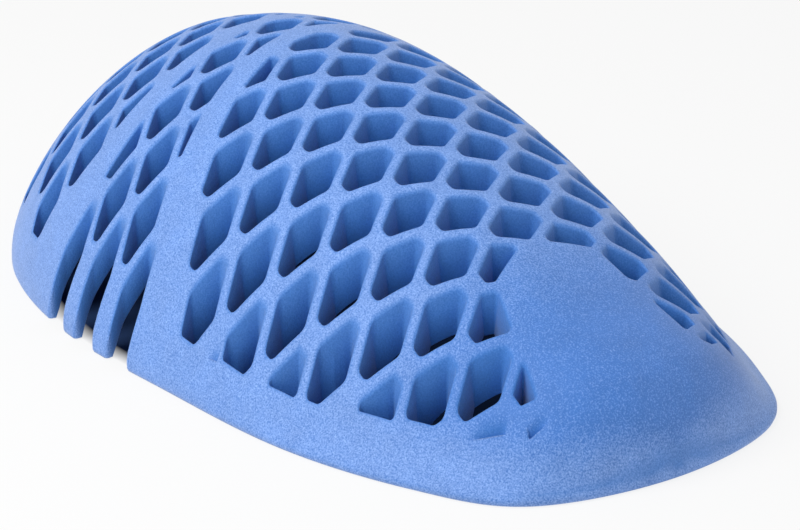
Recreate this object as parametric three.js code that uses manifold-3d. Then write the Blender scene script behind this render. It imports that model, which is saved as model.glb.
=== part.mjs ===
// Shoulder protector: one moulded pad. A hollow dome with an egg-shaped foot is pierced by a regular
// grid of upright cells. Two plain bands cross it, a plain rim runs round it, and the nose is solid.
// Millimetres, +X towards the nose, +Z up. The origin is the middle of the foot, on the floor.
import * as THREE from "three";
import { mergeVertices } from "three/addons/utils/BufferGeometryUtils.js";
import Module from "manifold-3d";

const wasm = await Module();
wasm.setup();

// Dome
const LENGTH = 221;
const RIM_EDGE = 2; // upright edge at the foot of the dome
const CROWN_X = -25; // the highest place, where the facets meet

// Sections from tail to nose, evenly spaced by angle so that they crowd towards the two round ends.
// half: half width of the foot, ridge: height on the centre line,
// round and flare: the two powers of the section's curve, (1 - t ^ round) ^ flare.
const SECTIONS = [
  { half: 0.0, ridge: 2.0, round: 1.60, flare: 0.84 },
  { half: 20.5, ridge: 19.2, round: 1.62, flare: 0.79 },
  { half: 39.7, ridge: 36.1, round: 1.67, flare: 0.73 },
  { half: 56.0, ridge: 52.5, round: 1.78, flare: 0.67 },
  { half: 62.3, ridge: 59.9, round: 1.93, flare: 0.74 },
  { half: 60.0, ridge: 54.7, round: 2.20, flare: 0.93 },
  { half: 55.6, ridge: 42.6, round: 2.47, flare: 1.29 },
  { half: 45.1, ridge: 29.4, round: 2.75, flare: 1.54 },
  { half: 30.7, ridge: 19.8, round: 3.00, flare: 1.72 },
  { half: 0.0, ridge: 2.0, round: 3.20, flare: 1.92 },
];

// Hollow: the same sections, drawn in by the wall
const RIM_WALL = 2.4; // at the foot, across
const CROWN_WALL = 6.8; // on the centre line, upright
const END_WALL = 7; // at tail and nose, along
const HOLLOW_ROUND = 1.13; // makes the hollow's sections rounder
const HOLLOW_FLARE = 1.45; // makes the wall fuller on the flanks

// Grid of cells: rows along X, every other row shifted by half a pitch
const PITCH = 14.4;
const ROW = 7.92;
const GRID_X = 27.6; // a cell of the even rows
const GRID_Y = ROW / 2; // the first row beside the centre line
const CELL_HALF_LENGTH = 4.35; // along X
const CELL_HALF_WIDTH = 5.5; // along Y
const CELL_FLAT = 1.2; // half of the flat at each Y end
const LEAST_SHARE = 0.7; // a cell with less than this share of its area left stays solid

// Plain bands across the dome: edges at the ridge, and how far they sweep forward per mm of y squared
const FRONT_BAND = { rear: -17.1, rearSweep: 0.0067, front: -11.3, frontSweep: 0.0093 };
const REAR_BAND = { rear: -32.5, rearSweep: -0.0013, front: -26.4, frontSweep: 0 };

// Zones of cells between the bands: each leans forward and is squeezed across towards the rim,
// and the side rows of the middle one are drawn together along the pad
const ZONES = [
  { name: "front", lean: 0, squeeze: 0, draw: 0 },
  { name: "middle", lean: 0.047, squeeze: 0.044, draw: 0.13 },
  { name: "tail", lean: 0.112, squeeze: 0, draw: 0 },
];
const DRAW_HUB = -8; // the place that they are drawn towards
const DRAW_START = 36; // distance from the ridge where this begins
const DRAW_END = 48; // and where it is complete

// Plain rim, widening towards the nose
const RIM_BAND = 3.5;
const RIM_BAND_GAIN = 8.6;
const RIM_BAND_POWER = 4;

// Solid nose with a tongue that reaches back between the cells, and the places where the cells end
const TONGUE = {
  tip: 69.7,
  corner: -9, // where the tip turns into a slanted corner
  cornerSlope: -0.45,
  right: -15.5,
  rightSlope: -0.3,
  left: 8.7,
  leftSlope: 0.11,
};
const NOSE_LIMIT = 97.9;
const TAIL_LIMIT = -93.1;

// Slits: the outermost middle cells run out through the rim, drawn closer about a hub at the foot
const SLIT_HALF = 3.6;
const SLIT_GAP = 9.9; // a middle cell with its middle this near to the foot becomes a slit
const SLIT_HUB = -3.1;
const SLIT_DRAW = 0.92;

// Facets
const FOOT_POINTS = 44;
const RINGS = 10;
const HOLLOW_FOOT_POINTS = 36;
const HOLLOW_RINGS = 8;
const CUT_DEPTH = 4; // how far cutters reach past what they cut

const HOLLOW_LENGTH = LENGTH - 2 * END_WALL;
const HOLLOW_SECTIONS = SECTIONS.map((row) => ({
  half: Math.max(row.half - RIM_WALL, 0),
  ridge: Math.max(row.ridge - CROWN_WALL, 0),
  round: row.round * HOLLOW_ROUND,
  flare: row.flare * HOLLOW_FLARE,
}));
const TOP = Math.max(...SECTIONS.map((row) => row.ridge));
const WIDEST = Math.max(...SECTIONS.map((row) => row.half));

// One column of a section table at an angle from tail (0) to nose (pi), by a curve through the rows
function column(table, name, angle) {
  const last = table.length - 1;
  const place = THREE.MathUtils.clamp((angle / Math.PI) * last, 0, last);
  const i = Math.min(Math.floor(place), last - 1);
  const t = place - i;
  const b = table[i][name];
  const c = table[i + 1][name];
  const a = i > 0 ? table[i - 1][name] : 2 * b - c;
  const d = i < last - 1 ? table[i + 2][name] : 2 * c - b;
  return b + 0.5 * t * (c - a + t * (2 * a - 5 * b + 4 * c - d + t * (3 * (b - c) + d - a)));
}

// Angle of the section at a place along the length
function angleAt(length, x) {
  return Math.acos(THREE.MathUtils.clamp((-2 * x) / length, -1, 1));
}

// Half width of the foot
function footHalf(x) {
  return column(SECTIONS, "half", angleAt(LENGTH, x));
}

// Height of a dome above a place inside its foot
function domeHeight(table, length, edge, x, y) {
  const angle = angleAt(length, x);
  const half = Math.max(column(table, "half", angle), 1e-6);
  const t = Math.min(Math.abs(y) / half, 1);
  const rise = Math.max(column(table, "ridge", angle) - edge, 0);
  const section = Math.pow(1 - Math.pow(t, column(table, "round", angle)), column(table, "flare", angle));
  return edge + rise * section;
}

// Closed dome: rings of points from the crown to the foot, a skirt down to the base, and a flat base
function domeGeometry(table, length, edge, base, points, rings) {
  const positions = [CROWN_X, 0, domeHeight(table, length, edge, CROWN_X, 0)];
  const foot = [];
  for (let i = 0; i < points; i++) {
    const turn = (2 * Math.PI * i) / points;
    const half = column(table, "half", Math.min(turn, 2 * Math.PI - turn));
    foot.push([(-length / 2) * Math.cos(turn), -Math.sign(Math.sin(turn)) * half]);
  }
  for (let ring = 1; ring <= rings; ring++) {
    const reach = Math.sin((ring / rings) * (Math.PI / 2));
    for (const [fx, fy] of foot) {
      const x = CROWN_X + reach * (fx - CROWN_X);
      const y = reach * fy;
      const z = ring === rings ? edge : domeHeight(table, length, edge, x, y);
      positions.push(x, y, z);
    }
  }
  for (const [fx, fy] of foot) {
    positions.push(fx, fy, base);
  }
  positions.push(CROWN_X, 0, base);
  const faces = [];
  const at = (ring, i) => 1 + (ring - 1) * points + (i % points);
  const under = at(rings + 2, 0);
  for (let i = 0; i < points; i++) {
    faces.push(0, at(1, i), at(1, i + 1));
    for (let ring = 1; ring <= rings; ring++) {
      faces.push(at(ring, i), at(ring + 1, i), at(ring + 1, i + 1));
      faces.push(at(ring, i), at(ring + 1, i + 1), at(ring, i + 1));
    }
    faces.push(under, at(rings + 1, i + 1), at(rings + 1, i));
  }
  const geometry = new THREE.BufferGeometry();
  geometry.setAttribute("position", new THREE.Float32BufferAttribute(positions, 3));
  geometry.setIndex(faces);
  return geometry;
}

// Part of a convex outline on the inner side of a line through a point, with the line's outward normal
function clip(outline, px, py, nx, ny) {
  const kept = [];
  const outside = ([x, y]) => (x - px) * nx + (y - py) * ny;
  outline.forEach((start, i) => {
    const end = outline[(i + 1) % outline.length];
    const a = outside(start);
    const b = outside(end);
    if (a <= 0) kept.push(start);
    if (a * b < 0) {
      const share = a / (a - b);
      kept.push([start[0] + share * (end[0] - start[0]), start[1] + share * (end[1] - start[1])]);
    }
  });
  return kept;
}

function area(outline) {
  let sum = 0;
  outline.forEach(([x, y], i) => {
    const [u, v] = outline[(i + 1) % outline.length];
    sum += x * v - u * y;
  });
  return sum / 2;
}

// Carries a place of the even grid into a zone
function inZone(zone, x, y) {
  const share = THREE.MathUtils.clamp((Math.abs(y) - DRAW_START) / (DRAW_END - DRAW_START), 0, 1);
  const leaned = x + zone.lean * Math.abs(y);
  return [DRAW_HUB + (leaned - DRAW_HUB) * (1 - zone.draw * share), y * (1 - zone.squeeze)];
}

// A whole cell: a hexagon with its points along X and flats at its Y ends, carried into its zone
function wholeCell(zone, x, y) {
  const corners = [
    [CELL_HALF_LENGTH, 0],
    [CELL_FLAT, CELL_HALF_WIDTH],
    [-CELL_FLAT, CELL_HALF_WIDTH],
    [-CELL_HALF_LENGTH, 0],
    [-CELL_FLAT, -CELL_HALF_WIDTH],
    [CELL_FLAT, -CELL_HALF_WIDTH],
  ];
  return corners.map(([dx, dy]) => inZone(zone, x + dx, y + dy));
}

// A slit in place of a cell of the outermost middle row, or nothing where a band takes its place
function slitOutline(zone, gridX, gridY) {
  const [x, y] = inZone(zone, gridX, gridY);
  const footX = SLIT_HUB + SLIT_DRAW * (gridX + zone.lean * Math.abs(gridY) - SLIT_HUB);
  if (footX < REAR_BAND.front || footX > FRONT_BAND.rear + FRONT_BAND.rearSweep * y * y) return [];
  const out = Math.sign(y);
  const end = out * (footHalf(footX) + CUT_DEPTH);
  const points = [
    [footX + SLIT_HALF, end],
    [x + SLIT_HALF, y],
    [x + CELL_FLAT, y - out * CELL_HALF_WIDTH],
    [x - CELL_FLAT, y - out * CELL_HALF_WIDTH],
    [x - SLIT_HALF, y],
    [footX - SLIT_HALF, end],
  ];
  return out < 0 ? points : points.reverse();
}

// Cuts a cell back to one side of a band's edge; side is 1 to keep what lies in front, -1 behind
function clipAtEdge(outline, edge, sweep, y, side) {
  return clip(outline, edge + sweep * y * y, y, -side, side * 2 * sweep * y);
}

// Cuts a cell back to the inside of the plain rim, by lines along the foot near the cell
function clipAtRim(outline, x, y) {
  const out = Math.sign(y);
  let kept = outline;
  for (const shift of [-CELL_HALF_LENGTH, 0, CELL_HALF_LENGTH]) {
    const at = THREE.MathUtils.clamp(x + shift, -0.49 * LENGTH, 0.49 * LENGTH);
    const slope = (footHalf(at + 0.5) - footHalf(at - 0.5)) * out;
    const size = Math.hypot(slope, 1);
    const nx = (-slope * out) / size;
    const ny = out / size;
    const inset = RIM_BAND + RIM_BAND_GAIN * Math.pow(at / LENGTH + 0.5, RIM_BAND_POWER);
    kept = clip(kept, at - inset * nx, out * footHalf(at) - inset * ny, nx, ny);
  }
  return kept;
}

// Cuts a cell back to the outside of the nose's tongue, on the side that leaves most of it
function clipAtTongue(outline) {
  const sides = [
    clip(outline, TONGUE.tip, 0, 1, 0),
    clip(outline, TONGUE.tip, TONGUE.corner, 1, -TONGUE.cornerSlope),
    clip(outline, TONGUE.tip, TONGUE.right, -TONGUE.rightSlope, 1),
    clip(outline, TONGUE.tip, TONGUE.left, TONGUE.leftSlope, -1),
  ];
  return sides.reduce((best, next) => (area(next) > area(best) ? next : best));
}

// Outline of the cell at a place of the grid in one zone, or nothing where it is solid
function cellOutline(zone, k, j) {
  const gridX = GRID_X + (PITCH / 2) * k;
  const gridY = GRID_Y + ROW * j;
  const [x, y] = inZone(zone, gridX, gridY);
  const rimGap = footHalf(x) - Math.abs(y);
  if (Math.abs(x) > LENGTH / 2 || rimGap < 0) return [];
  if (zone.name === "middle" && rimGap < SLIT_GAP) return slitOutline(zone, gridX, gridY);
  const whole = wholeCell(zone, gridX, gridY);
  let outline = whole;
  if (zone.name === "front") {
    outline = clipAtEdge(outline, FRONT_BAND.front, FRONT_BAND.frontSweep, y, 1);
    outline = clip(outline, NOSE_LIMIT, 0, 1, 0);
    outline = clipAtTongue(clipAtRim(outline, x, y));
  } else if (zone.name === "middle") {
    outline = clipAtEdge(outline, FRONT_BAND.rear, FRONT_BAND.rearSweep, y, -1);
    outline = clipAtEdge(outline, REAR_BAND.front, REAR_BAND.frontSweep, y, 1);
  } else {
    outline = clipAtEdge(outline, REAR_BAND.rear, REAR_BAND.rearSweep, y, -1);
    outline = clip(outline, TAIL_LIMIT, 0, -1, 0);
    outline = clipAtRim(outline, x, y);
  }
  return area(outline) > LEAST_SHARE * area(whole) ? outline : [];
}

// Upright cutter over an outline
function cutter(outline) {
  const shape = new THREE.Shape(outline.map(([x, y]) => new THREE.Vector2(x, y)));
  const geometry = new THREE.ExtrudeGeometry(shape, { depth: TOP + 2 * CUT_DEPTH, bevelEnabled: false });
  return geometry.translate(0, 0, -CUT_DEPTH);
}

function toSolid(geometry) {
  const bare = geometry.clone();
  bare.deleteAttribute("normal");
  bare.deleteAttribute("uv");
  const merged = mergeVertices(bare);
  const vertProperties = new Float32Array(merged.attributes.position.array);
  const triVerts = new Uint32Array(merged.index.array);
  return new wasm.Manifold(new wasm.Mesh({ numProp: 3, vertProperties, triVerts }));
}

function toGeometry(solid) {
  const mesh = solid.getMesh();
  const geometry = new THREE.BufferGeometry();
  geometry.setAttribute("position", new THREE.Float32BufferAttribute(mesh.vertProperties, 3));
  geometry.setIndex(new THREE.Uint32BufferAttribute(mesh.triVerts, 1));
  geometry.computeVertexNormals();
  return geometry;
}

// The shell: the dome less its hollow and less every cell
function shellGeometry() {
  const dome = domeGeometry(SECTIONS, LENGTH, RIM_EDGE, 0, FOOT_POINTS, RINGS);
  const depth = -CUT_DEPTH;
  const hollow = domeGeometry(HOLLOW_SECTIONS, HOLLOW_LENGTH, 0, depth, HOLLOW_FOOT_POINTS, HOLLOW_RINGS);
  let shell = toSolid(dome).subtract(toSolid(hollow));
  const rows = Math.ceil(WIDEST / ROW);
  const steps = Math.ceil((LENGTH + 2 * GRID_X) / PITCH);
  for (const zone of ZONES) {
    for (let j = -rows; j < rows; j++) {
      for (let k = -steps; k <= steps; k++) {
        if ((k + j) % 2 !== 0) continue;
        const outline = cellOutline(zone, k, j);
        if (outline.length > 2) shell = shell.subtract(toSolid(cutter(outline)));
      }
    }
  }
  return toGeometry(shell);
}

const blue = new THREE.MeshStandardMaterial({ color: 0x4f82d6, roughness: 0.75, metalness: 0 });

const protector = new THREE.Group();
const shell = new THREE.Mesh(shellGeometry(), blue);
shell.name = "shell";
protector.add(shell);

export default protector;
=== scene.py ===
"""Shoulder protector: a moulded lattice pad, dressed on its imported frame, on a plain studio stage."""

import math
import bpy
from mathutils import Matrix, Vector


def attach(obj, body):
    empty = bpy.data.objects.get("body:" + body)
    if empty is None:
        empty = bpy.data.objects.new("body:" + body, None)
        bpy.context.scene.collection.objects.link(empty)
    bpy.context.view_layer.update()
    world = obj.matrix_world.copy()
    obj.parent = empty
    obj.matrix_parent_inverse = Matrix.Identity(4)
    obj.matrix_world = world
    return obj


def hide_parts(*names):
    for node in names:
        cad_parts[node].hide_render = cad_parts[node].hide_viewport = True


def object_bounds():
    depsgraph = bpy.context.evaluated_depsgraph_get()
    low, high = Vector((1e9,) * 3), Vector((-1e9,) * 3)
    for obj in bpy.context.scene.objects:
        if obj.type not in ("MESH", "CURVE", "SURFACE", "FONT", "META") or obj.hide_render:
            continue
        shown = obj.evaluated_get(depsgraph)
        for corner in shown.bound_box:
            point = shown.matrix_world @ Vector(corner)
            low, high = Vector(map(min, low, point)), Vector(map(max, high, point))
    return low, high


bl_info = {
    "name": "Lattice Shoulder Protector",
    "version": (1, 0, 0),
    "blender": (4, 5, 0),
    "location": "3D View > Sidebar > Pad",
    "description": "Moulds a domed lattice pad on its packed frame and sets a plain studio stage",
    "category": "Add Mesh",
}

import bpy
import numpy as np
from bpy.props import FloatProperty, FloatVectorProperty, PointerProperty
from mathutils import Matrix, Vector
from mathutils.geometry import delaunay_2d_cdt
from mathutils.kdtree import KDTree

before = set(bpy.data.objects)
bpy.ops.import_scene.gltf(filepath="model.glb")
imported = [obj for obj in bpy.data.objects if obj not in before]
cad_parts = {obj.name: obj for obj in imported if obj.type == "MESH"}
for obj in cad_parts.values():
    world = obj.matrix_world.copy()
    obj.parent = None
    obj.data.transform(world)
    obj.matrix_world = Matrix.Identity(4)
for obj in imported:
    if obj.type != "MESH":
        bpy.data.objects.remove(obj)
CAD_LOW, CAD_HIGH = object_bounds()
NODE = "shell"
BODY = "root"

# Sections from tail to nose, evenly spaced by angle so that they crowd towards the round ends, in metres.
# half: half width of the foot, ridge: height on the centre line,
# round and flare: powers of the section's curve
COLUMNS = [(name, float) for name in ("half", "ridge", "round", "flare")]
SECTIONS = np.array(
    [
        (0.0000, 0.0020, 1.60, 0.84),
        (0.0205, 0.0192, 1.62, 0.79),
        (0.0397, 0.0361, 1.67, 0.73),
        (0.0560, 0.0525, 1.78, 0.67),
        (0.0623, 0.0599, 1.93, 0.74),
        (0.0600, 0.0547, 2.20, 0.93),
        (0.0556, 0.0426, 2.47, 1.29),
        (0.0451, 0.0294, 2.75, 1.54),
        (0.0307, 0.0198, 3.00, 1.72),
        (0.0000, 0.0020, 3.20, 1.92),
    ],
    dtype=COLUMNS,
)

# Sections of the hollow, which is narrower and steeper than the dome towards the nose,
# so that the wall is thick round the outer rows of cells there
HOLLOW = np.array(
    [
        (0.0000, 0.0000, 1.80, 1.30),
        (0.0180, 0.0120, 1.80, 1.20),
        (0.0375, 0.0290, 1.90, 1.10),
        (0.0535, 0.0455, 2.00, 1.00),
        (0.0600, 0.0525, 2.20, 1.10),
        (0.0540, 0.0465, 2.50, 1.00),
        (0.0415, 0.0320, 3.20, 0.65),
        (0.0365, 0.0225, 3.80, 1.20),
        (0.0265, 0.0125, 3.60, 1.90),
        (0.0000, 0.0000, 3.60, 2.50),
    ],
    dtype=COLUMNS,
)

# Shallow pockets in the skin outside the outermost cells: place, reach along the foot's line and across it,
# turn of that line in degrees, and depth.
# Each is deepest at its outer side, and at the end that its reach points to.
POCKET_COLUMNS = [(name, float) for name in ("x", "y", "along", "across", "turn", "depth")]
POCKETS = np.array(
    [
        (0.0288, -0.0537, 0.0018, 0.0011, 10.0, 0.0012),
        (0.0906, -0.0315, 0.0042, 0.0013, 42.0, 0.0030),
        (0.0982, -0.0246, -0.0024, 0.0008, 72.0, 0.0022),
    ],
    dtype=POCKET_COLUMNS,
)

# Zones of cells, and the shares by which each leans forward towards the sides, is squeezed across,
# and is drawn together along the pad at the sides
ZONES = {"front": (0.0, 0.0, 0.0), "middle": (0.047, 0.044, 0.13), "tail": (0.112, 0.0, 0.0)}

# Finer sizes of the skirt, the slits and the rim, in metres
SKIRT_FULL = 0.018  # the skirt's inside is at its full height up to here from its middle
SKIRT_END = 0.028  # and ends here
SLIT_MOUTH = 0.0010  # radius of a slit's corners at the rim
SLIT_BEND = 0.0025  # radius of its bends where it meets the grid
SLIT_TIP = 0.0010  # radius of the corners at its inner end
SLIT_CLEAR = 0.004  # points of the foot's line keep this far from a slit
FOOT_UNDER = 0.0008  # radius of the rim's lower edge
RIM_POWER = 4  # how late the plain rim widens towards the nose
RIM_END = 0.49  # places past this share of the length take the rim's direction from here
SLOPE_STEP = 0.0005  # the rim's direction is taken over this distance either way

# Corners of the cells
LEAST_CORNER = 0.25  # least share of the corner's radius in a rest of a cell
CORNER_SHRINK = 0.6  # a corner that is too large for its cell is made smaller by this
LEAST_CORE = 1e-8  # least area inside the corners, in square metres
DRAFT_SHARE = 0.85  # a cell narrows by no more than this share of its corner's radius
ARC_TURN = math.radians(20)  # largest turn between the points of a corner
ARC_POINTS = 7  # points of each corner of a slit

# Points of the mesh
FOOT_POINTS = 200  # points of each side of the foot's line
ROUND_STEPS = 5  # steps of a rounded outer edge
UNDER_STEPS = 2  # steps of a rounded lower edge
RIM_ROWS = (0.0009, 0.0020, 0.0034)  # rows of points in from the rim's rounding
FOLD_ROWS = (0.0, 0.0005, 0.0012, 0.0024)  # rows of points in from the edge of the hollow
FOLD_POINTS = 420  # points of each of those rows
SKIN_GAP = 0.0007  # least distance between the points of a plain surface
POCKET_GAP = 0.0001  # and between those of a pocket

# Where the pale coat lies, which is partly real pale powder and partly painted sheen
POWDER_AND_SHEEN_NOSE = (0.058, 0.092)  # along the pad, it thins from the first place to the second
POWDER_AND_SHEEN_RIM = (0.004, 0.014)  # in from the rim of the nose, it thins in the same way
RIM_OUTLINE = (0.0020, 0.0006)  # distances from the outline between which a wall turns into the rim
WALL_SHARE = 0.2  # share of the outer skin at the foot of a cell's rounded edge; below it the wall darkens to the wall colour, painted shade
POCKET_PAINTED_SHADE = 0.8  # share of the outer skin that a pocket lacks, painted shade in its deep part
POCKET_SHADE_DEPTH = 0.0015  # at this depth

# Stage
CAMERA_AIM = (-0.0109, 0.0208, 0.0)
SENSOR_WIDTH = 36
LIGHT_AIM = (0.0, 0.0, 0.02)
KEY_PLACE = (0.0, -0.42, 0.50)
KEY_SIZE = 0.4
FILL_PLACE = (0.9, 0.5, 0.9)
FILL_SIZE = 0.9
WHITE = (1, 1, 1, 1)
FLOOR_GLOW = 0.82
FLOOR_PALE = (0.13, 0.13, 0.13, 1)
# Colour of the painted shade on the floor under the pad
FLOOR_PAINTED_SHADE = (0.02, 0.04, 0.10, 1)
FLOOR_POINTS = 160
FLOOR_RINGS = ((60.0, 0), (1.03, 0), (0.97, 0), (0.90, 1))  # size against the foot, and share of painted shade


def length_property(name, default, description):
    """A size in metres that a user may change."""
    return FloatProperty(name=name, default=default, description=description, unit="LENGTH", precision=5)


def number_property(name, default, description):
    """A plain number that a user may change."""
    return FloatProperty(name=name, default=default, description=description)


def angle_property(name, degrees, description):
    """An angle that a user may change."""
    return FloatProperty(name=name, default=math.radians(degrees), description=description, subtype="ANGLE")


def power_property(name, default, description):
    """The power of a light, which a user may change."""
    return FloatProperty(name=name, default=default, description=description, unit="POWER")


class PadShape(bpy.types.PropertyGroup):
    """Sizes of the dome, its wall and its plain parts."""

    length: length_property("Length", CAD_HIGH.x - CAD_LOW.x, "Length of the foot from tail to nose")
    rim_edge: length_property("Rim edge", 0.002, "Height of the upright edge at the foot")
    end_wall: length_property("End wall", 0.0070, "Thickness of the wall at tail and nose, along")
    skirt_wall: length_property("Skirt wall", 0.0024, "Thickness of the skirt that the slits cut through")
    skirt_cover: length_property("Skirt cover", 0.0085, "Least height of material over the skirt's inside")
    skirt_height: length_property("Skirt height", 0.0160, "Height of the skirt's inside")
    skirt_middle: length_property("Skirt middle", -0.012, "Place of the skirt along the pad")
    front_band_rear: length_property("Front band rear", -0.0171, "Rear edge of the front band on the ridge")
    front_band_front: length_property("Front band front", -0.0113, "Its front edge on the ridge")
    rear_sweep: number_property("Rear sweep", 6.7, "Sweep of the band's rear edge per metre")
    front_sweep: number_property("Front sweep", 9.3, "Sweep of the band's front edge per metre")
    rear_band_rear: length_property("Rear band rear", -0.0325, "Rear edge of the rear band")
    rear_band_front: length_property("Rear band front", -0.0264, "Front edge of the rear band")
    tail_sweep: number_property("Tail sweep", -1.3, "Sweep of the rear band's rear edge per metre")
    rim_band: length_property("Rim band", 0.0035, "Width of the plain rim at the tail")
    rim_band_gain: length_property("Rim band gain", 0.0086, "How much wider the plain rim is at the nose")
    tongue_tip: length_property("Tongue tip", 0.0697, "Where the nose's tongue ends between the cells")
    tongue_corner: length_property("Tongue corner", -0.009, "Where its end turns into its right corner")
    tongue_corner_slope: number_property("Corner slope", -0.45, "Slant of both corners")
    tongue_left_corner: length_property("Tongue left corner", 0.0, "Where it turns into its left corner")
    tongue_right: length_property("Tongue right", -0.0155, "Right edge of the tongue at its tip")
    tongue_right_slope: number_property("Right slope", -0.3, "Slope of the right edge")
    tongue_left: length_property("Tongue left", 0.0080, "Left edge of the tongue at its tip")
    tongue_left_slope: number_property("Left slope", 0.20, "Slope of the left edge")
    nose_limit: length_property("Nose limit", 0.0979, "The cells end here, towards the nose")
    tail_limit: length_property("Tail limit", -0.0931, "The cells end here, towards the tail")


class PadCells(bpy.types.PropertyGroup):
    """Sizes of the cells, the slits and their rounded edges."""

    pitch: length_property("Pitch", 0.0144, "Distance between the cells of a row")
    row: length_property("Row", 0.00792, "Distance between rows, each shifted by half a pitch")
    grid_x: length_property("Grid start", 0.0276, "Middle of a cell of the even rows")
    half_length: length_property("Half length", 0.00450, "Half of a cell, along the pad")
    half_width: length_property("Half width", 0.00565, "Half of a cell, across the pad")
    flat: length_property("Flat", 0.0012, "Half of the flat at each side end of a cell")
    least_share: number_property("Least share", 0.03, "A smaller rest of a cell stays solid")
    corner: length_property("Corner", 0.0014, "Radius of a cell's upright corners")
    draft: length_property("Draft", 0.0012, "How much a cell narrows on each side towards the underside")
    edge_round: length_property("Edge round", 0.0008, "Radius of the outer edges of cells, slits and rim")
    under_round: length_property("Under round", 0.0003, "Radius of the edges under the pad")
    slit_half: length_property("Slit half width", 0.0036, "Half of a slit's width")
    slit_hub: length_property("Slit hub", -0.0031, "Place that the slits are drawn towards at the foot")
    slit_draw: number_property("Slit draw", 0.92, "How far apart the slits stay as they are drawn together")
    slit_gap: length_property("Slit gap", 0.0099, "A middle cell this near to the foot becomes a slit")
    draw_hub: length_property("Draw hub", -0.008, "Place that the middle zone's side rows are drawn to")
    draw_start: length_property("Draw start", 0.036, "Distance from the ridge where rows begin to be drawn")
    draw_end: length_property("Draw end", 0.048, "Distance from the ridge where rows are fully drawn")
    step: length_property("Step", 0.0011, "Distance between the points of an edge")
    skin_step: length_property("Skin step", 0.0024, "Distance between the points of a plain surface")


def colour_property(name, default, description):
    """A colour that a user may change."""
    return FloatVectorProperty(name=name, default=default, size=3, subtype="COLOR", description=description)


class PadFinish(bpy.types.PropertyGroup):
    """Colours of the moulded material."""

    # Darker than the outer skin: painted shade inside the cells and the hollow
    wall: colour_property("Wall", (0.018, 0.155, 0.510), "Clean colour inside the cells and the hollow")
    skin: colour_property("Skin", (0.034, 0.160, 0.520), "Colour of the outer skin")
    # A pale coat on the outer skin: partly real pale powder, partly painted sheen on the outer surfaces
    powder_and_sheen_colour: colour_property("Bloom", (0.225, 0.375, 0.745), "Colour of the pale powder on the outer skin")


class PadStage(bpy.types.PropertyGroup):
    """Camera and light."""

    azimuth: angle_property("Azimuth", 54.54, "Camera turn")
    elevation: angle_property("Elevation", 21.72, "Camera rise")
    distance: length_property("Distance", 0.589, "Distance from the camera to its aim point")
    lens: FloatProperty(name="Lens", default=113.8, subtype="DISTANCE_CAMERA", description="Focal length")
    key_power: power_property("Key power", 3.2, "Power of the key light")
    fill_power: power_property("Fill power", 1.0, "Power of the fill light")
    surround: number_property("Surround", 0.60, "Brightness of the white surround")


# Dome


def smooth_step(value, start, end):
    """Rises smoothly from 0 to 1 between two places."""
    t = np.clip((value - start) / (end - start), 0, 1)
    return t * t * (3 - 2 * t)


def column(values, angle):
    """A column of a section table at angles from tail (0) to nose (pi), as a smooth curve."""
    last = len(values) - 1
    place = np.clip(np.asarray(angle) / math.pi * last, 0, last)
    i = np.minimum(place.astype(int), last - 1)
    t = place - i
    ends = [2 * values[0] - values[1]], [2 * values[-1] - values[-2]]
    padded = np.concatenate([ends[0], values, ends[1]])
    a, b, c, d = (padded[i + n] for n in range(4))
    return b + 0.5 * t * (c - a + t * (2 * a - 5 * b + 4 * c - d + t * (3 * (b - c) + d - a)))


class Dome:
    """A dome over an egg-shaped foot, with an upright edge round it."""

    def __init__(self, length, edge, half, ridge, powers, flare):
        self.length = length
        self.edge = edge
        self.halves = half
        self.ridges = ridge
        self.powers = powers
        self.flares = flare

    def angle(self, x):
        """Angle of the section at a place along the length."""
        return np.arccos(np.clip(-2 * np.asarray(x) / self.length, -1, 1))

    def half(self, x):
        """Half width of the foot."""
        return column(self.halves, self.angle(x))

    def foot_line(self, count, inward=0.0):
        """Points of the foot's line, moved inwards."""
        turns = np.linspace(0, 2 * math.pi, count, endpoint=False)
        angles = np.minimum(turns, 2 * math.pi - turns)
        half = np.sign(np.sin(turns)) * (column(self.halves, angles) - inward)
        return np.column_stack([-(self.length / 2 - inward) * np.cos(turns), half])

    def height(self, x, y):
        """Height above places inside the foot, and of its edge outside it."""
        angle = self.angle(x)
        half = np.maximum(column(self.halves, angle), 1e-9)
        t = np.minimum(np.abs(y) / half, 1)
        rise = np.maximum(column(self.ridges, angle) - self.edge, 0)
        return self.edge + rise * (1 - t ** column(self.powers, angle)) ** column(self.flares, angle)


def outer_dome(shape):
    """The outer surface."""
    return Dome(shape.length, shape.rim_edge, *(SECTIONS[name] for name in SECTIONS.dtype.names))


def hollow_dome(shape):
    """The surface of the hollow."""
    return Dome(shape.length - 2 * shape.end_wall, 0.0, *(HOLLOW[name] for name in HOLLOW.dtype.names))


def under_height(shape, outer, hollow, x, y):
    """Height of the underside: the hollow, widened behind the skirt."""
    behind = outer.height(x, np.abs(y) + shape.skirt_wall) - shape.rim_edge
    covered = outer.height(x, y) - shape.skirt_cover
    limit = shape.skirt_height * smooth_step(np.abs(x - shape.skirt_middle), SKIRT_END, SKIRT_FULL)
    skirt = np.minimum(np.minimum(behind, covered), limit)
    return np.maximum(hollow.height(x, y), skirt)


def pocket_turn(pocket):
    """Cosine and sine of a pocket's turn."""
    turn = math.radians(pocket["turn"])
    return math.cos(turn), math.sin(turn)


def pocket_depth(x, y):
    """Depth of the shallow pockets below the outer surface."""
    start, deep, lip, end = -1.0, 0.6, 0.8, 1.0
    depth = np.zeros(np.shape(x))
    for pocket in POCKETS:
        c, s = pocket_turn(pocket)
        dx, dy = x - pocket["x"], y - pocket["y"]
        share = pocket["depth"]
        for place in ((dx * c + dy * s) / pocket["along"], (dx * s - dy * c) / pocket["across"]):
            share = share * smooth_step(place, start, deep) * smooth_step(place, end, lip)
        depth += share
    return depth


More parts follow.
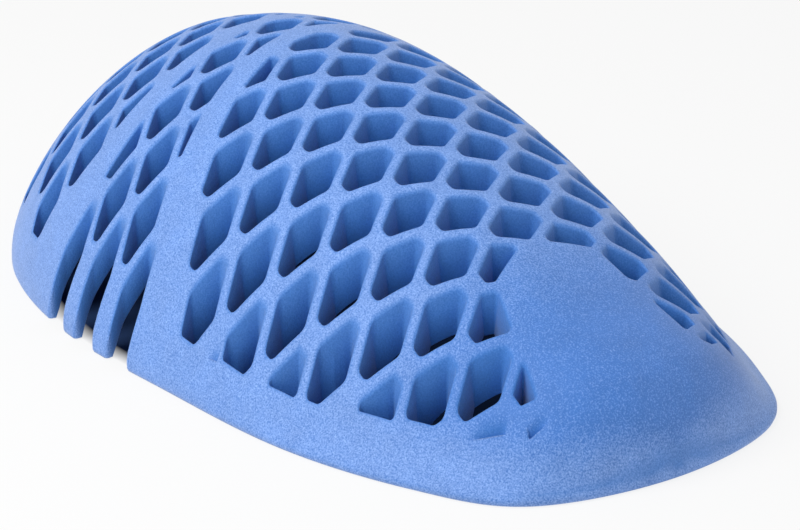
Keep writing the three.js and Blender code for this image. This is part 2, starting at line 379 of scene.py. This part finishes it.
def pocket_points():
    """Places in and round the pockets, close enough together to show them."""
    along_shares = np.linspace(-1.3, 1.3, 18)
    across_shares = (-1.3, -1.0, -0.6, -0.2, 0.2, 0.5, 0.7, 0.8, 0.9, 1.0, 1.3)
    for pocket in POCKETS:
        c, s = pocket_turn(pocket)
        for u in along_shares:
            for v in across_shares:
                along, across = u * pocket["along"], v * pocket["across"]
                yield pocket["x"] + along * c + across * s, pocket["y"] + along * s - across * c


# Outlines in plan, as lists of points that run counter-clockwise


def clip(outline, point, normal):
    """Part of a convex outline on the inner side of a line through a point, with its outward normal."""
    kept = []
    for start, end in zip(outline, outline[1:] + outline[:1]):
        a = (start[0] - point[0]) * normal[0] + (start[1] - point[1]) * normal[1]
        b = (end[0] - point[0]) * normal[0] + (end[1] - point[1]) * normal[1]
        if a <= 0:
            kept.append(start)
        if a * b < 0:
            share = a / (a - b)
            kept.append((start[0] + share * (end[0] - start[0]), start[1] + share * (end[1] - start[1])))
    return kept


def area(outline):
    """Area of an outline."""
    return 0.5 * sum(p[0] * q[1] - q[0] * p[1] for p, q in zip(outline, outline[1:] + outline[:1]))


def sides(outline):
    """Each side's start, end and outward normal, without sides that have no length."""
    for p, q in zip(outline, outline[1:] + outline[:1]):
        size = math.hypot(q[0] - p[0], q[1] - p[1])
        if size > 1e-7:
            yield p, q, ((q[1] - p[1]) / size, (p[0] - q[0]) / size)


def inset(outline, reach):
    """A convex outline with all its sides moved inwards."""
    kept = outline
    for p, _, (nx, ny) in list(sides(outline)):
        kept = clip(kept, (p[0] - reach * nx, p[1] - reach * ny), (nx, ny))
    return kept


class Plan:
    """The pad seen from above: where its cells and slits are, and the line of its foot."""

    def __init__(self, shape, cells):
        self.shape = shape
        self.sizes = cells
        self.dome = outer_dome(shape)

    def middle(self, k, j):
        """Middle of a cell of the even grid."""
        return self.sizes.grid_x + self.sizes.pitch / 2 * k, self.sizes.row * (j + 0.5)

    def in_zone(self, zone, x, y):
        """Carries a place of the even grid into a zone."""
        lean, squeeze, draw = ZONES[zone]
        sizes = self.sizes
        x += lean * abs(y)
        share = min(max((abs(y) - sizes.draw_start) / (sizes.draw_end - sizes.draw_start), 0), 1)
        return sizes.draw_hub + (x - sizes.draw_hub) * (1 - draw * share), y * (1 - squeeze)

    def whole_cell(self, k, j, zone):
        """A cell of the grid, carried into its zone."""
        x, y = self.middle(k, j)
        length, width, flat = self.sizes.half_length, self.sizes.half_width, self.sizes.flat
        half = ((length, 0), (flat, width), (-flat, width))
        corners = [*half, *((-dx, -dy) for dx, dy in half)]
        return [self.in_zone(zone, x + dx, y + dy) for dx, dy in corners]

    def at_edge(self, outline, edge, sweep, y, side):
        """Cuts a cell back to the front (1) or rear (-1) side of a band's edge."""
        return clip(outline, (edge + sweep * y * y, y), (-side, side * 2 * sweep * y))

    def at_rim(self, outline, x, y):
        """Cuts a cell back to the inside of the plain rim, by lines along the foot near the cell."""
        out = math.copysign(1, y)
        limit = RIM_END * self.shape.length
        for shift in (-1, 0, 1):
            place = min(max(x + shift * self.sizes.half_length, -limit), limit)
            near, here, far = self.dome.half(np.array([place - SLOPE_STEP, place, place + SLOPE_STEP]))
            slope = (far - near) / (2 * SLOPE_STEP)
            size = math.hypot(slope, 1)
            normal = (-slope / size, out / size)
            forward = place / self.shape.length + 0.5
            band = self.shape.rim_band + self.shape.rim_band_gain * forward**RIM_POWER
            outline = clip(outline, (place - band * normal[0], out * here - band * normal[1]), normal)
        return outline

    def at_tongue(self, outline):
        """Cuts a cell back to the outside of the nose's tongue, on the side that leaves most of it."""
        shape = self.shape
        kept = (
            clip(outline, (shape.tongue_tip, 0), (1, 0)),
            clip(outline, (shape.tongue_tip, shape.tongue_corner), (1, -shape.tongue_corner_slope)),
            clip(outline, (shape.tongue_tip, shape.tongue_left_corner), (1, shape.tongue_corner_slope)),
            clip(outline, (shape.tongue_tip, shape.tongue_right), (-shape.tongue_right_slope, 1)),
            clip(outline, (shape.tongue_tip, shape.tongue_left), (shape.tongue_left_slope, -1)),
        )
        return max(kept, key=area)

    def grid(self):
        """Every place of the grid that may hold a cell, as its zone, column and row."""
        rows = math.ceil(max(SECTIONS["half"]) / self.sizes.row)
        steps = math.ceil((self.shape.length + 2 * self.sizes.grid_x) / self.sizes.pitch)
        for zone in ZONES:
            for j in range(-rows, rows):
                for k in range(-steps, steps + 1):
                    if (k + j) % 2 == 0:
                        yield zone, k, j

    def middle_of(self, outline):
        """Middle of an outline's corners, and its distance to the foot across the pad."""
        x, y = np.mean(outline, axis=0)
        return x, y, float(self.dome.half(x)) - abs(y)

    def is_slit(self, zone, gap):
        """True for the outermost cells of the middle zone, which run out through the rim."""
        return zone == "middle" and gap < self.sizes.slit_gap

    def cells(self):
        """Outlines of all the cells, cut back to the plain parts round them."""
        shape = self.shape
        for zone, k, j in self.grid():
            outline = self.whole_cell(k, j, zone)
            x, y, gap = self.middle_of(outline)
            full = area(outline)
            if gap < shape.rim_band or abs(x) > shape.length / 2 or self.is_slit(zone, gap):
                continue
            if zone == "front":
                outline = self.at_edge(outline, shape.front_band_front, shape.front_sweep, y, 1)
                outline = clip(outline, (shape.nose_limit, 0), (1, 0))
                outline = self.at_tongue(self.at_rim(outline, x, y))
            elif zone == "middle":
                outline = self.at_edge(outline, shape.front_band_rear, shape.rear_sweep, y, -1)
                outline = self.at_edge(outline, shape.rear_band_front, 0, y, 1)
            else:
                outline = self.at_edge(outline, shape.rear_band_rear, shape.tail_sweep, y, -1)
                outline = clip(outline, (shape.tail_limit, 0), (-1, 0))
                outline = self.at_rim(outline, x, y)
            if len(outline) > 2 and area(outline) > self.sizes.least_share * full:
                yield outline

    def slits(self, side):
        """Slits of one side: their middle at the foot, and where they meet the grid."""
        shape, hub = self.shape, self.sizes.slit_hub
        for zone, k, j in self.grid():
            if zone != "middle" or math.copysign(1, j + 0.5) != side:
                continue
            gap = self.middle_of(self.whole_cell(k, j, zone))[2]
            even_x, even_y = self.middle(k, j)
            x, y = self.in_zone(zone, even_x, even_y)
            foot_x = hub + self.sizes.slit_draw * (even_x + ZONES[zone][0] * abs(even_y) - hub)
            off_bands = shape.rear_band_front < foot_x < shape.front_band_rear + shape.rear_sweep * y * y
            if 0 < gap and self.is_slit(zone, gap) and off_bands:
                yield foot_x, x, y

    def foot_side(self, side):
        """One side of the foot from tail to nose, with its slits, as points with a radius for each."""
        turns = np.linspace(0, math.pi, FOOT_POINTS)[1:-1]
        halves = side * column(self.dome.halves, turns)
        points = [(-self.shape.length / 2 * math.cos(a), y) for a, y in zip(turns, halves)]
        half, flat, width = self.sizes.slit_half, self.sizes.flat, self.sizes.half_width
        slits = sorted(self.slits(side))
        clear = half + SLIT_CLEAR
        line = [(p, 0.0) for p in points if all(abs(p[0] - foot_x) > clear for foot_x, _, _ in slits)]
        for foot_x, x, y in slits:
            into, out = [], []
            for way, path in ((-1, into), (1, out)):
                rim = side * float(self.dome.half(foot_x + way * half))
                path.append(((foot_x + way * half, rim), SLIT_MOUTH))
                path.append(((x + way * half, y), SLIT_BEND))
                path.append(((x + way * flat, y - side * width), SLIT_TIP))
            spot = sum(point[0] < foot_x - half for point, _ in line)
            line[spot:spot] = into + out[::-1]
        return line

    def foot(self):
        """The whole line of the foot, clockwise, with rounded corners."""
        near = self.foot_side(-1)
        far = self.foot_side(1)
        tail = ((-self.shape.length / 2, 0.0), 0.0)
        nose = ((self.shape.length / 2, 0.0), 0.0)
        return round_corners([tail, *far, nose, *reversed(near)])


def round_corners(line):
    """A closed line with each corner of a given radius replaced by an arc."""
    rounded = []
    count = len(line)
    for i, (corner, radius) in enumerate(line):
        here = np.array(corner)
        if radius == 0:
            rounded.append(here)
            continue
        before = np.array(line[i - 1][0]) - here
        after = np.array(line[(i + 1) % count][0]) - here
        u = before / np.linalg.norm(before)
        v = after / np.linalg.norm(after)
        half_angle = math.acos(np.clip(u @ v, -1, 1)) / 2
        middle = here + (u + v) / np.linalg.norm(u + v) * radius / math.sin(half_angle)
        start = here + u * radius / math.tan(half_angle) - middle
        end = here + v * radius / math.tan(half_angle) - middle
        for share in np.linspace(0, 1, ARC_POINTS):
            spoke = (1 - share) * start + share * end
            rounded.append(middle + spoke / np.linalg.norm(spoke) * radius)
    return np.array(rounded)


# Edges: closed lines that can be moved into the material


class Edge:
    """A closed line with the material on its right. At a depth d it is base + (reach + d) * normal.

    draft is how much further out the material reaches at the underside.
    under is the radius of the lower edge.
    """

    def __init__(self, base, normal, reach, draft, under):
        self.base = np.asarray(base)
        self.normal = np.asarray(normal)
        self.reach = reach
        self.draft = draft
        self.under = under

    def at(self, depth):
        """The line, moved into the material."""
        return self.base + (self.reach + depth) * self.normal


def cell_edge(outline, sizes):
    """Edge of a cell with rounded corners, which are smaller in a rest of a cell."""
    whole = 2 * sizes.half_width * (sizes.half_length + sizes.flat)
    reach = sizes.corner * min(1, max(LEAST_CORNER, area(outline) / whole))
    core = inset(outline, reach)
    while len(core) < 3 or area(core) < LEAST_CORE:
        reach *= CORNER_SHRINK
        core = inset(outline, reach)
    runs = list(sides(core))
    base, normals = [], []
    for (p, q, n), (_, _, m) in zip(runs, runs[1:] + runs[:1]):
        steps = max(1, math.ceil(math.dist(p, q) / sizes.step))
        for s in range(steps):
            share = s / steps
            base.append((p[0] + share * (q[0] - p[0]), p[1] + share * (q[1] - p[1])))
            normals.append(n)
        turn = math.acos(max(-1, min(1, n[0] * m[0] + n[1] * m[1])))
        arc = max(2, math.ceil(turn / ARC_TURN))
        for s in range(arc):
            c, d = math.cos(turn * s / arc), math.sin(turn * s / arc)
            base.append(q)
            normals.append((n[0] * c - n[1] * d, n[1] * c + n[0] * d))
    return Edge(base, normals, reach, min(sizes.draft, DRAFT_SHARE * reach), sizes.under_round)


def foot_edge(line, sizes, under):
    """Edge of the foot, with points no further apart than a step."""
    points = []
    for p, q in zip(line, np.roll(line, -1, axis=0)):
        steps = max(1, math.ceil(np.linalg.norm(q - p) / sizes.step))
        points.extend(p + (q - p) * s / steps for s in range(steps))
    points = np.array(points)
    along = np.roll(points, -1, axis=0) - np.roll(points, 1, axis=0)
    along /= np.linalg.norm(along, axis=1)[:, None]
    normal = np.stack([along[:, 1], -along[:, 0]], axis=1)
    return Edge(points, normal, 0.0, 0.0, under)


def inside(points, loop):
    """Which points lie inside a closed line."""
    x, y = points[:, 0], points[:, 1]
    odd = np.zeros(len(points), bool)
    for (ax, ay), (bx, by) in zip(loop, np.roll(loop, -1, axis=0)):
        if ay != by:
            crosses = (ay > y) != (by > y)
            odd ^= crosses & (x < ax + (y - ay) * (bx - ax) / (by - ay))
    return odd


def spread(points, taken, gap):
    """Points that keep a gap to those already taken and to each other, in order."""
    kept = []
    tree = KDTree(len(taken))
    for i, p in enumerate(taken):
        tree.insert((p[0], p[1], 0), i)
    tree.balance()
    grid = {}
    for x, y in points:
        if tree.find((x, y, 0))[2] < gap:
            continue
        cx, cy = int(x // gap), int(y // gap)
        around = [q for i in (-1, 0, 1) for j in (-1, 0, 1) for q in grid.get((cx + i, cy + j), ())]
        if all(math.hypot(x - q[0], y - q[1]) >= gap for q in around):
            grid.setdefault((cx, cy), []).append((x, y))
            kept.append((x, y))
    return np.array(kept)


# Mesh


class Skin:
    """Collects the vertices and faces of one closed mesh."""

    def __init__(self):
        self.points = []
        self.faces = []
        self.skin = []
        self.count = 0

    def add(self, plan, height, skin):
        """Adds vertices with their share of the outer skin's finish, and returns their numbers."""
        self.points.append(np.column_stack([plan, height]))
        self.skin.append(skin * np.ones(len(plan)))
        first = self.count
        self.count += len(plan)
        return np.arange(first, self.count)

    def strip(self, lower, upper):
        """Faces between two closed rows of vertices that have the material on their right."""
        self.faces.append(np.column_stack([lower, upper, np.roll(upper, -1), np.roll(lower, -1)]))

    def mesh(self, name, dome):
        """The finished mesh, with the shares of outer skin and of pale powder and painted sheen for its
        finish.
        """
        made = bpy.data.meshes.new(name)
        faces = [face for block in self.faces for face in block.tolist()]
        points = np.concatenate(self.points)
        made.from_pydata(points.tolist(), [], faces)
        made.validate()
        shares = {"skin": np.concatenate(self.skin), "powder_and_sheen": powder_and_sheen(dome, points)}
        for label, values in shares.items():
            made.attributes.new(label, "FLOAT", "POINT").data.foreach_set("value", values)
        made.shade_smooth()
        return made


def round_profile(radius, steps):
    """Depths and drops of a rounded edge, from its upright side to its flat side."""
    angles = np.linspace(0, math.pi / 2, steps + 1)
    return [(radius * (1 - math.cos(a)), radius * (1 - math.sin(a))) for a in angles]


def between(points, edges, foot, rim):
    """The points that lie inside the foot and outside the cells."""
    points = points[inside(points, foot.at(rim))]
    for edge in edges:
        loop = edge.at(rim)
        low, high = loop.min(0), loop.max(0)
        close = np.where(((points > low) & (points < high)).all(1))[0]
        points = np.delete(points, close[inside(points[close], loop)], axis=0)
    return points


def free_points(plan, edges, foot, hollow, rim):
    """Points of the plain surfaces, closer together at the rim, at the hollow's edge and in the pockets."""
    sizes = plan.sizes
    length, width = plan.shape.length / 2, max(SECTIONS["half"])
    near_rim = [foot.at(rim + inward)[::2] for inward in RIM_ROWS]
    fold = [hollow.foot_line(FOLD_POINTS, inward) for inward in FOLD_ROWS]
    step = sizes.skin_step
    rows = np.arange(-width, width, step * math.sqrt(0.75))
    starts = [-length + (i % 2) * step / 2 for i in range(len(rows))]
    grid = [(x, y) for start, y in zip(starts, rows) for x in np.arange(start, length, step)]
    taken = np.concatenate([edge.at(rim) for edge in [foot, *edges]])
    pockets = np.array(list(pocket_points()))
    close = spread(between(pockets, edges, foot, rim), taken, POCKET_GAP)
    wide = between(np.concatenate([*fold, *near_rim, grid]), edges, foot, rim)
    return np.concatenate([close, spread(wide, np.concatenate([taken, close]), SKIN_GAP)])


def sheet_triangles(edges, foot, free, rim):
    """Points and triangles of the plan between the edges."""
    rings = [edge.at(rim) for edge in [foot, *edges]]
    starts = np.cumsum([0] + [len(ring) for ring in rings])
    owner = np.repeat(np.arange(len(rings)), [len(ring) for ring in rings])
    points = np.concatenate([*rings, free])
    owner = np.concatenate([owner, np.full(len(free), -1)])
    links = [(a + i, a + (i + 1) % (b - a)) for a, b in zip(starts[:-1], starts[1:]) for i in range(b - a)]
    places, _, faces, source, *_ = delaunay_2d_cdt([Vector(p) for p in points], links, [], 0, 1e-9)
    if len(places) != len(points) or any(len(s) != 1 for s in source):
        raise RuntimeError("edges of the lattice cross or touch each other")
    number = np.array([s[0] for s in source])
    triangles = number[np.array(faces)]
    corners = points[triangles]
    turn = np.cross(corners[:, 1] - corners[:, 0], corners[:, 2] - corners[:, 0])
    triangles[turn < 0] = triangles[turn < 0][:, ::-1]
    owners = owner[triangles]
    same = (owners[:, 0] == owners[:, 1]) & (owners[:, 1] == owners[:, 2])
    in_cell = same & (owners[:, 0] > 0)
    middle = points[triangles].mean(1)
    keep = ~in_cell & inside(middle, rings[0])
    return points, starts, triangles[keep]


def powder_and_sheen(dome, points):
    """Share of the pale coat on the outer skin, partly real pale powder and partly painted sheen: less on
    the nose, except on its rim.
    """
    x, y = points[:, 0], points[:, 1]
    on_nose = smooth_step(x, *POWDER_AND_SHEEN_NOSE)
    off_rim = smooth_step(dome.half(x) - np.abs(y), *POWDER_AND_SHEEN_RIM)
    return 1 - on_nose * off_rim


def on_rim(dome, points):
    """1 on the outline of the foot, and 0 on the walls of cells and slits."""
    return smooth_step(dome.half(points[:, 0]) - np.abs(points[:, 1]), *RIM_OUTLINE)


def shell_mesh(shape, sizes):
    """The closed mesh of the shell, with rounded ribs and edges."""
    plan = Plan(shape, sizes)
    outer, hollow = plan.dome, hollow_dome(shape)
    edges = [cell_edge(outline, sizes) for outline in plan.cells()]
    foot = foot_edge(plan.foot(), sizes, FOOT_UNDER)
    rim = sizes.edge_round
    profile = round_profile(rim, ROUND_STEPS)
    free = free_points(plan, edges, foot, hollow, rim)
    points, starts, triangles = sheet_triangles(edges, foot, free, rim)
    skin = Skin()
    pocket = pocket_depth(points[:, 0], points[:, 1])
    # The deep part of each pocket loses some of the outer skin's paler finish: painted shade
    pocket_shade = POCKET_PAINTED_SHADE * smooth_step(pocket, 0, POCKET_SHADE_DEPTH)
    top = skin.add(points, outer.height(points[:, 0], points[:, 1]) - pocket, 1 - pocket_shade)
    low = np.concatenate([edge.at(edge.under - edge.draft) for edge in [foot, *edges]] + [free])
    bottom = skin.add(low, under_height(shape, outer, hollow, low[:, 0], low[:, 1]), 0.0)
    skin.faces.append(top[triangles])
    skin.faces.append(bottom[triangles[:, ::-1]])
    for edge, first, last in zip([foot, *edges], starts[:-1], starts[1:]):
        rows = []
        for depth, drop in profile[:-1]:
            ring = edge.at(depth)
            # The rounded edge fades from the outer skin towards the darker wall colour going down into a
            # cell, painted shade, except on the foot's rim
            share = WALL_SHARE + (1 - WALL_SHARE) * np.maximum(depth / rim, on_rim(outer, ring))
            rows.append(skin.add(ring, outer.height(ring[:, 0], ring[:, 1]) - drop, share))
        rows.append(top[first:last])
        for lower, upper in zip(rows[:-1], rows[1:]):
            skin.strip(lower, upper)
        # Lower down, the walls take the darker wall colour, painted shade, except on the foot's rim
        under = []
        for depth, drop in round_profile(edge.under, UNDER_STEPS)[:-1]:
            ring = edge.at(depth - edge.draft)
            height = under_height(shape, outer, hollow, ring[:, 0], ring[:, 1])
            under.append(skin.add(ring, height + drop, on_rim(outer, ring)))
        under.append(bottom[first:last])
        for upper, lower in zip(under[:-1], under[1:]):
            skin.strip(lower, upper)
        skin.strip(under[0], rows[0])
    return skin.mesh("shell_pad", outer)


# Finish


def node(tree, kind, place, **settings):
    """Adds a shader node with its settings."""
    made = tree.nodes.new(kind)
    made.location = place
    for name, value in settings.items():
        setattr(made, name, value)
    return made


def noise(tree, place, source, scale, detail):
    """A noise texture over the object's own space."""
    made = node(tree, "ShaderNodeTexNoise", place)
    made.inputs["Scale"].default_value = scale
    made.inputs["Detail"].default_value = detail
    tree.links.new(source, made.inputs["Vector"])
    return made.outputs["Fac"]


def map_range(tree, place, source, low, high, start=0.0, end=1.0):
    """Carries a value from between start and end to between low and high."""
    made = node(tree, "ShaderNodeMapRange", place)
    for name, value in (("From Min", start), ("From Max", end), ("To Min", low), ("To Max", high)):
        made.inputs[name].default_value = value
    tree.links.new(source, made.inputs["Value"])
    return made.outputs["Result"]


def attribute(tree, place, name):
    """A share that the mesh holds."""
    return node(tree, "ShaderNodeAttribute", place, attribute_name=name).outputs["Fac"]


def new_material(name):
    """A new material, with its node tree and its shader."""
    made = bpy.data.materials.new(name)
    made.use_nodes = True
    return made, made.node_tree, made.node_tree.nodes["Principled BSDF"]


def pad_material(finish):
    """Matt blue elastomer with a fine powdery grain, whose outer skin carries a pale coat of powder and
    painted sheen, and whose cells and hollow take a darker colour as painted shade.
    """
    made, tree, shader = new_material("powdered_blue_elastomer")
    space = node(tree, "ShaderNodeTexCoord", (-1100, 0)).outputs["Object"]
    grain = noise(tree, (-900, 200), space, scale=3000.0, detail=2.0)
    mottle = noise(tree, (-900, -100), space, scale=160.0, detail=3.0)
    fewer = map_range(tree, (-900, 400), attribute(tree, (-1100, 400), "powder_and_sheen"), low=-0.23, high=0.0)
    specks = node(tree, "ShaderNodeMath", (-750, 300), operation="ADD")
    tree.links.new(grain, specks.inputs[0])
    tree.links.new(fewer, specks.inputs[1])
    ramp = node(tree, "ShaderNodeValToRGB", (-650, 200))
    for stop, place, colour in zip(ramp.color_ramp.elements, (0.26, 0.76), (finish.skin, finish.powder_and_sheen_colour)):
        stop.position = place
        stop.color = (*colour, 1)
    tree.links.new(specks.outputs["Value"], ramp.inputs["Fac"])
    # Mix of the darker wall colour, painted shade in the cells and hollow, and the pale coat of powder and
    # painted sheen on the skin
    coat = node(tree, "ShaderNodeMix", (-500, 400), data_type="RGBA")
    coat.inputs["A"].default_value = (*finish.wall, 1)
    tree.links.new(attribute(tree, (-650, 500), "skin"), coat.inputs["Factor"])
    tree.links.new(ramp.outputs["Color"], coat.inputs["B"])
    tone = map_range(tree, (-650, -100), mottle, low=0.95, high=1.05, start=0.3, end=0.7)
    speckle = map_range(tree, (-650, -350), grain, low=0.92, high=1.08, start=0.3, end=0.7)
    source = coat.outputs["Result"]
    for x, factor in ((-350, tone), (-200, speckle)):
        colour = node(tree, "ShaderNodeMix", (x, 200), data_type="RGBA", blend_type="MULTIPLY")
        colour.inputs["Factor"].default_value = 1.0
        tree.links.new(source, colour.inputs["A"])
        tree.links.new(factor, colour.inputs["B"])
        source = colour.outputs["Result"]
    tree.links.new(source, shader.inputs["Base Color"])
    bump = node(tree, "ShaderNodeBump", (-350, -250))
    bump.inputs["Strength"].default_value = 0.4
    bump.inputs["Distance"].default_value = 0.0002
    tree.links.new(grain, bump.inputs["Height"])
    tree.links.new(bump.outputs["Normal"], shader.inputs["Normal"])
    shader.inputs["Roughness"].default_value = 0.62
    shader.inputs["Specular IOR Level"].default_value = 0.4
    shader.inputs["Sheen Weight"].default_value = 0.2
    shader.inputs["Sheen Roughness"].default_value = 0.6
    return made


def floor_material():
    """A plain white floor with a glow of its own, with painted shade under the pad, where the mesh says so.
    """
    made, tree, shader = new_material("white_stage")
    shader.inputs["Roughness"].default_value = 1.0
    shader.inputs["Specular IOR Level"].default_value = 0.0
    shader.inputs["Emission Color"].default_value = WHITE
    # The floor's glow and colour fade to painted shade under the pad
    shade = attribute(tree, (-450, -200), "shade")
    dim = map_range(tree, (-250, -200), shade, low=FLOOR_GLOW, high=0.0)
    tree.links.new(dim, shader.inputs["Emission Strength"])
    colour = node(tree, "ShaderNodeMix", (-250, 100), data_type="RGBA")
    colour.inputs["A"].default_value = FLOOR_PALE
    colour.inputs["B"].default_value = FLOOR_PAINTED_SHADE
    tree.links.new(shade, colour.inputs["Factor"])
    tree.links.new(colour.outputs["Result"], shader.inputs["Base Color"])
    return made


# Operators


class PAD_OT_shell(bpy.types.Operator):
    """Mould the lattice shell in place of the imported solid."""

    bl_idname = "pad.shell"
    bl_label = "Mould shell"

    def execute(self, context):
        scene = context.scene
        pad = bpy.data.objects.new("shell_pad", shell_mesh(scene.pad_shape, scene.pad_cells))
        scene.collection.objects.link(pad)
        pad.data.materials.append(pad_material(scene.pad_finish))
        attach(pad, BODY)
        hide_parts(NODE)
        return {"FINISHED"}


def add_light(scene, name, place, size, power):
    """A soft square light that looks at the pad."""
    lamp = bpy.data.lights.new(name, "AREA")
    lamp.size = size
    lamp.energy = power
    made = bpy.data.objects.new(name, lamp)
    scene.collection.objects.link(made)
    made.location = place
    made.rotation_mode = "QUATERNION"
    made.rotation_quaternion = (Vector(LIGHT_AIM) - Vector(place)).to_track_quat("-Z", "Y")


def add_camera(scene, stage):
    """The camera, turned about its aim point on the floor."""
    a, e = stage.azimuth, stage.elevation
    right = Vector((math.cos(a), math.sin(a), 0))
    up = Vector((-math.sin(a) * math.sin(e), math.cos(a) * math.sin(e), math.cos(e)))
    back = right.cross(up)
    lens = bpy.data.cameras.new("camera")
    lens.lens = stage.lens
    lens.sensor_width = SENSOR_WIDTH
    lens.sensor_fit = "HORIZONTAL"
    made = bpy.data.objects.new("camera", lens)
    scene.collection.objects.link(made)
    turn = Matrix((right, up, back)).transposed().to_4x4()
    made.matrix_world = Matrix.Translation(Vector(CAMERA_AIM) + back * stage.distance) @ turn
    scene.camera = made


def add_floor(scene, shape):
    """A wide floor of rings about the foot's line, the inner ones of which fade to painted shade under the
    pad.
    """
    # Mirrored, so that it runs counter-clockwise and the faces look up
    foot = outer_dome(shape).foot_line(FLOOR_POINTS) * (1, -1)
    sizes, shades = zip(*FLOOR_RINGS)
    points = np.concatenate([foot * size for size in sizes])
    numbers = np.arange(len(points)).reshape(len(sizes), FLOOR_POINTS)
    faces = [numbers[-1].tolist()]
    for outside, within in zip(numbers[:-1], numbers[1:]):
        quads = np.column_stack([outside, np.roll(outside, -1), np.roll(within, -1), within])
        faces.extend(quads.tolist())
    sheet = bpy.data.meshes.new("floor")
    sheet.from_pydata([(x, y, 0) for x, y in points], [], faces)
    shade = sheet.attributes.new("shade", "FLOAT", "POINT")
    shade.data.foreach_set("value", np.repeat(shades, FLOOR_POINTS))
    sheet.materials.append(floor_material())
    made = bpy.data.objects.new("floor", sheet)
    scene.collection.objects.link(made)


class PAD_OT_stage(bpy.types.Operator):
    """Set the floor, the soft light and the camera."""

    bl_idname = "pad.stage"
    bl_label = "Set stage"

    def execute(self, context):
        scene = context.scene
        stage = scene.pad_stage
        add_camera(scene, stage)
        add_floor(scene, scene.pad_shape)
        world = bpy.data.worlds.new("surround")
        scene.world = world
        world.use_nodes = True
        sky = world.node_tree.nodes["Background"]
        sky.inputs["Color"].default_value = WHITE
        sky.inputs["Strength"].default_value = stage.surround
        add_light(scene, "key", KEY_PLACE, KEY_SIZE, stage.key_power)
        add_light(scene, "fill", FILL_PLACE, FILL_SIZE, stage.fill_power)
        scene.view_settings.view_transform = "Standard"
        return {"FINISHED"}


class PAD_PT_panel(bpy.types.Panel):
    """Lists the steps that make the pad."""

    bl_idname = "PAD_PT_panel"
    bl_label = "Shoulder protector"
    bl_space_type = "VIEW_3D"
    bl_region_type = "UI"
    bl_category = "Pad"

    def draw(self, context):
        for group in GROUPS:
            box = self.layout.box()
            settings = getattr(context.scene, group)
            for name in settings.bl_rna.properties.keys():
                if name not in ("rna_type", "name"):
                    box.prop(settings, name)
        self.layout.operator(PAD_OT_shell.bl_idname)
        self.layout.operator(PAD_OT_stage.bl_idname)


CLASSES = (PadShape, PadCells, PadFinish, PadStage, PAD_OT_shell, PAD_OT_stage, PAD_PT_panel)
GROUPS = {"pad_shape": PadShape, "pad_cells": PadCells, "pad_finish": PadFinish, "pad_stage": PadStage}


def register():
    """Adds the classes and their settings."""
    for made in CLASSES:
        bpy.utils.register_class(made)
    for name, group in GROUPS.items():
        setattr(bpy.types.Scene, name, PointerProperty(type=group))


def unregister():
    """Takes the classes and their settings away."""
    for name in GROUPS:
        delattr(bpy.types.Scene, name)
    for made in reversed(CLASSES):
        bpy.utils.unregister_class(made)


def main():
    """Makes the pad and its stage."""
    register()
    bpy.ops.pad.shell()
    bpy.ops.pad.stage()


if __name__ == "__main__":
    main()
